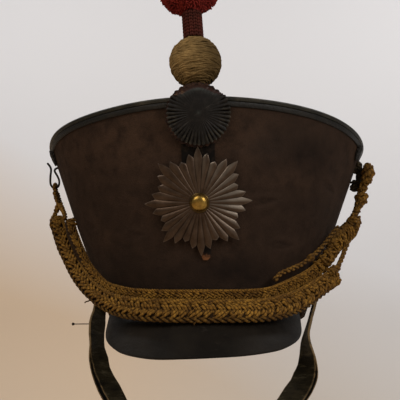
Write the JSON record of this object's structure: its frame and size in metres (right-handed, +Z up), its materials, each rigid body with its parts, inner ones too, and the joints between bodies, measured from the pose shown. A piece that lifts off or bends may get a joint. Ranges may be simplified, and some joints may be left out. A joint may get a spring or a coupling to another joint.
{
  "type": "shako hat",
  "caption": "Felt shako that widens to its top, with leather peak, pleated cockade, star plate, ball pompom, slung gold cords and chin strap.",
  "frame": {"origin": "centre of the head opening, at the lower edge of the felt, where the hat sits on a head", "axes": "+Z up through the crown, -Y the way the peak and the star face, +X to the wearer's left"},
  "size_m": [0.292, 0.3091, 0.4023],
  "materials": {
    "felt": "matt, worn, brown-black",
    "black_leather": "dull, cracked",
    "binding_leather": "waxed",
    "peak_leather": "scuffed, half matt",
    "pleated_leather": "half matt",
    "worn_leather": "worn bare at the edge",
    "strap_leather": "dull, creased",
    "star_metal": "blackened, dull shine on the ridges",
    "brass": "polished, tarnished at the foot",
    "iron_wire": "rusted",
    "khaki_wool": "wound yarn",
    "dark_red_knit": "knitted",
    "red_wool": "clipped wool",
    "gold_cord": "plaited, faded"
  },
  "bodies": {
    "root": {"crown_wall": "felt", "crown_top": "black_leather", "top_band": "black_leather", "rim_binding": "binding_leather", "peak": "peak_leather", "cockade_loop": "black_leather", "cockade_back": "worn_leather", "cockade_front": "pleated_leather", "star_plate": "star_metal", "star_button": "brass", "pompom_socket": "black_leather", "pompom_ball": "khaki_wool", "pompom_stem": "dark_red_knit", "pompom_tuft": "red_wool", "side_rosette_left": "pleated_leather", "side_rosette_right": "pleated_leather", "hook_left": "iron_wire", "hook_right": "iron_wire", "plait_lower": "gold_cord", "plait_upper": "gold_cord", "cord_left": "gold_cord", "cord_right": "gold_cord", "cord_right_loop": "gold_cord", "cord_right_end": "gold_cord", "cord_right_branch": "gold_cord", "chin_strap": "strap_leather", "strap_pin": "iron_wire"}
  },
  "joints": []
}
